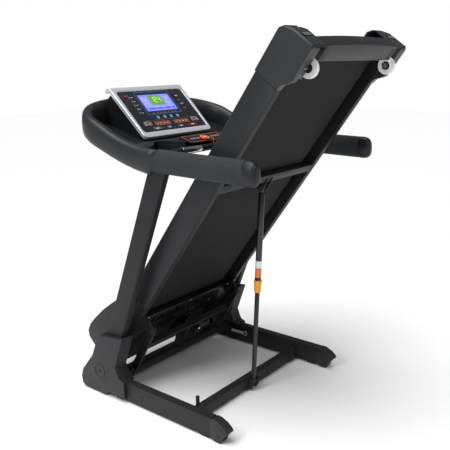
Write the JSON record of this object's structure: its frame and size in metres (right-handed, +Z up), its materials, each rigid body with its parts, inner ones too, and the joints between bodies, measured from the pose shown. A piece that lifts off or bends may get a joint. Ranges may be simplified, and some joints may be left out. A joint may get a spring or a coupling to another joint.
{
  "type": "folding motor treadmill",
  "caption": "Motor treadmill folded for storage, with a tilted running deck, U-shaped handlebar console, gas strut, lift motor and transport wheels.",
  "frame": {"origin": "floor, centre of the overall box in plan", "axes": "+X to the right of a user facing the console, +Y forward to the console, +Z up"},
  "size_m": [0.777, 1.076, 1.3644],
  "materials": {
    "frame_black": "textured powder coat",
    "gloss_paint": "satin",
    "motor_paint": "satin",
    "black_sheet": "satin",
    "bright_steel": "satin",
    "chrome_plate": "polished",
    "cast_metal": "machined",
    "plain_aluminium": "plain",
    "silver_plastic": "metallic paint",
    "grey_plastic": "fine grain",
    "black_plastic": "fine grain",
    "gloss_black": "moulded",
    "white_plastic": "moulded",
    "red_plastic": "moulded",
    "yellow_plastic": "moulded",
    "panel_film": "printed film",
    "green_key": "printed film",
    "blue_key": "printed film",
    "display_lens": "clear window",
    "circuit_board": "board",
    "grip_foam": "foam",
    "black_rubber": "moulded",
    "belt_fabric": "woven underside",
    "red_cord": "braided",
    "lead_sleeve": "sleeve",
    "board_wood": "coated fibreboard"
  },
  "bodies": {
    "base": {"base_tubes": "frame_black", "base_crossbars": "frame_black", "base_brackets": "frame_black", "foot_caps": "black_plastic", "rubber_feet": "black_rubber", "posts": "frame_black", "post_covers": "grey_plastic", "transport_axles": "bright_steel", "grips": "grip_foam", "grip_caps": "gloss_black", "console_shell": "grey_plastic", "console_pod": "black_plastic", "console_bezel": "silver_plastic", "face_panel": "panel_film", "display_lens": "display_lens", "console_board": "circuit_board", "key_shelf": "black_plastic", "cross_handle": "frame_black", "pulse_plates": "chrome_plate", "earth_lead": "lead_sleeve"},
    "deck": {"deck_rails": "frame_black", "deck_crossmembers": "frame_black", "deck_brackets": "frame_black", "running_board": "board_wood", "board_cushions": "black_rubber", "running_belt": "belt_fabric", "deck_shafts": "bright_steel", "foot_rails": "grey_plastic", "motor_hood": "grey_plastic", "belly_pan": "black_sheet", "pan_screws": "bright_steel", "rear_caps": "grey_plastic", "rear_bridge": "black_plastic", "drive_motor": "motor_paint", "drive_belt": "black_rubber", "motor_controller": "plain_aluminium"},
    "lift_frame": {"lift_frame": "frame_black"},
    "lift_motor": {"lift_motor": "motor_paint"},
    "lift_push_tube": {"lift_push_tube": "bright_steel"},
    "front_roller": {"front_roller": "bright_steel"},
    "rear_roller": {"rear_roller": "bright_steel"},
    "motor_rotor": {"motor_pulley": "cast_metal"},
    "deck_wheel_left": {"deck_wheel_left": "white_plastic"},
    "deck_wheel_right": {"deck_wheel_right": "white_plastic"},
    "transport_wheel_left": {"transport_wheel_left": "black_plastic"},
    "transport_wheel_right": {"transport_wheel_right": "black_plastic"},
    "strut_lower": {"strut_lower": "gloss_paint"},
    "strut_upper": {"strut_upper": "gloss_paint"},
    "lock_sleeve": {"lock_sleeve": "yellow_plastic"},
    "safety_key": {"safety_key": "red_plastic", "safety_key_cord": "red_cord", "safety_key_tag": "red_plastic"},
    "start_key": {"start_key": "green_key"},
    "stop_key": {"stop_key": "red_plastic"},
    "program_key": {"program_key": "blue_key"},
    "mode_key": {"mode_key": "blue_key"},
    "incline_up_key": {"incline_up_key": "panel_film"},
    "incline_down_key": {"incline_down_key": "panel_film"},
    "speed_up_key": {"speed_up_key": "panel_film"},
    "speed_down_key": {"speed_down_key": "panel_film"}
  },
  "joints": [
    {"name": "fold", "type": "hinge", "parent": "base", "child": "deck", "pos_m": [0, 0.315, 0.066], "axis": [1, 0, 0], "range_deg": [0, 57.2]},
    {"name": "incline", "type": "hinge", "parent": "deck", "child": "lift_frame", "pos_m": [0, 0.19136, 0.2753], "axis": [-1, 0, 0], "range_deg": [0, 25]},
    {"name": "lift_motor_swing", "type": "hinge", "parent": "deck", "child": "lift_motor", "pos_m": [0, 0.4574, 0.19665], "axis": [1, 0, 0], "range_deg": [0, 3]},
    {"name": "lift_tube_slide", "type": "slide", "parent": "lift_motor", "child": "lift_push_tube", "axis": [0, -0.9628, -0.2702], "range_m": [0, 0.069]},
    {"name": "front_roller_spin", "type": "hinge", "parent": "deck", "child": "front_roller", "pos_m": [0, 0.28733, 0.31165], "axis": [1, 0, 0], "continuous": true},
    {"name": "rear_roller_spin", "type": "hinge", "parent": "deck", "child": "rear_roller", "pos_m": [0, -0.43624, 1.30755], "axis": [1, 0, 0], "continuous": true},
    {"name": "motor_spin", "type": "hinge", "parent": "deck", "child": "motor_rotor", "pos_m": [0, 0.38389, 0.22977], "axis": [1, 0, 0], "continuous": true},
    {"name": "strut_swing", "type": "hinge", "parent": "base", "child": "strut_lower", "pos_m": [0, -0.099, 0.044], "axis": [1, 0, 0], "range_deg": [0, 81]},
    {"name": "strut_slide", "type": "slide", "parent": "strut_lower", "child": "strut_upper", "axis": [0, -0.0563, 0.9984], "range_m": [-0.3091, 0]},
    {"name": "lock_sleeve_slide", "type": "slide", "parent": "strut_upper", "child": "lock_sleeve", "axis": [0, 0.0563, -0.9984], "range_m": [0, 0.006], "stiffness_N_per_m": 600},
    {"name": "safety_key_lift", "type": "slide", "parent": "base", "child": "safety_key", "axis": [0, -0.2676, 0.9635], "range_m": [0, 0.012]},
    {"name": "deck_wheel_left_spin", "type": "hinge", "parent": "deck", "child": "deck_wheel_left", "pos_m": [-0.25, -0.48817, 1.24633], "axis": [1, 0, 0], "continuous": true},
    {"name": "transport_wheel_left_spin", "type": "hinge", "parent": "base", "child": "transport_wheel_left", "pos_m": [-0.354, 0.436, 0.034], "axis": [1, 0, 0], "continuous": true},
    {"name": "deck_wheel_right_spin", "type": "hinge", "parent": "deck", "child": "deck_wheel_right", "pos_m": [0.25, -0.48817, 1.24633], "axis": [1, 0, 0], "continuous": true},
    {"name": "transport_wheel_right_spin", "type": "hinge", "parent": "base", "child": "transport_wheel_right", "pos_m": [0.354, 0.436, 0.034], "axis": [1, 0, 0], "continuous": true},
    {"name": "start_key_press", "type": "slide", "parent": "base", "child": "start_key", "axis": [0, 0.7009, -0.7133], "range_m": [0, 0.001], "stiffness_N_per_m": 800},
    {"name": "stop_key_press", "type": "slide", "parent": "base", "child": "stop_key", "axis": [0, 0.7009, -0.7133], "range_m": [0, 0.001], "stiffness_N_per_m": 800},
    {"name": "program_key_press", "type": "slide", "parent": "base", "child": "program_key", "axis": [0, 0.7009, -0.7133], "range_m": [0, 0.001], "stiffness_N_per_m": 800},
    {"name": "mode_key_press", "type": "slide", "parent": "base", "child": "mode_key", "axis": [0, 0.7009, -0.7133], "range_m": [0, 0.001], "stiffness_N_per_m": 800},
    {"name": "incline_up_key_press", "type": "slide", "parent": "base", "child": "incline_up_key", "axis": [0, 0.7009, -0.7133], "range_m": [0, 0.001], "stiffness_N_per_m": 800},
    {"name": "incline_down_key_press", "type": "slide", "parent": "base", "child": "incline_down_key", "axis": [0, 0.7009, -0.7133], "range_m": [0, 0.001], "stiffness_N_per_m": 800},
    {"name": "speed_up_key_press", "type": "slide", "parent": "base", "child": "speed_up_key", "axis": [0, 0.7009, -0.7133], "range_m": [0, 0.001], "stiffness_N_per_m": 800},
    {"name": "speed_down_key_press", "type": "slide", "parent": "base", "child": "speed_down_key", "axis": [0, 0.7009, -0.7133], "range_m": [0, 0.001], "stiffness_N_per_m": 800}
  ],
  "couplings": [
    {"joint": "strut_swing", "follows": "fold", "ratio": 1.4114},
    {"joint": "strut_slide", "follows": "fold", "m_per_rad": -0.30858},
    {"joint": "lift_motor_swing", "follows": "incline", "ratio": 0.11812},
    {"joint": "lift_tube_slide", "follows": "incline", "m_per_rad": 0.15704},
    {"joint": "rear_roller_spin", "follows": "front_roller_spin", "ratio": 1},
    {"joint": "motor_spin", "follows": "front_roller_spin", "ratio": 2.2857}
  ]
}
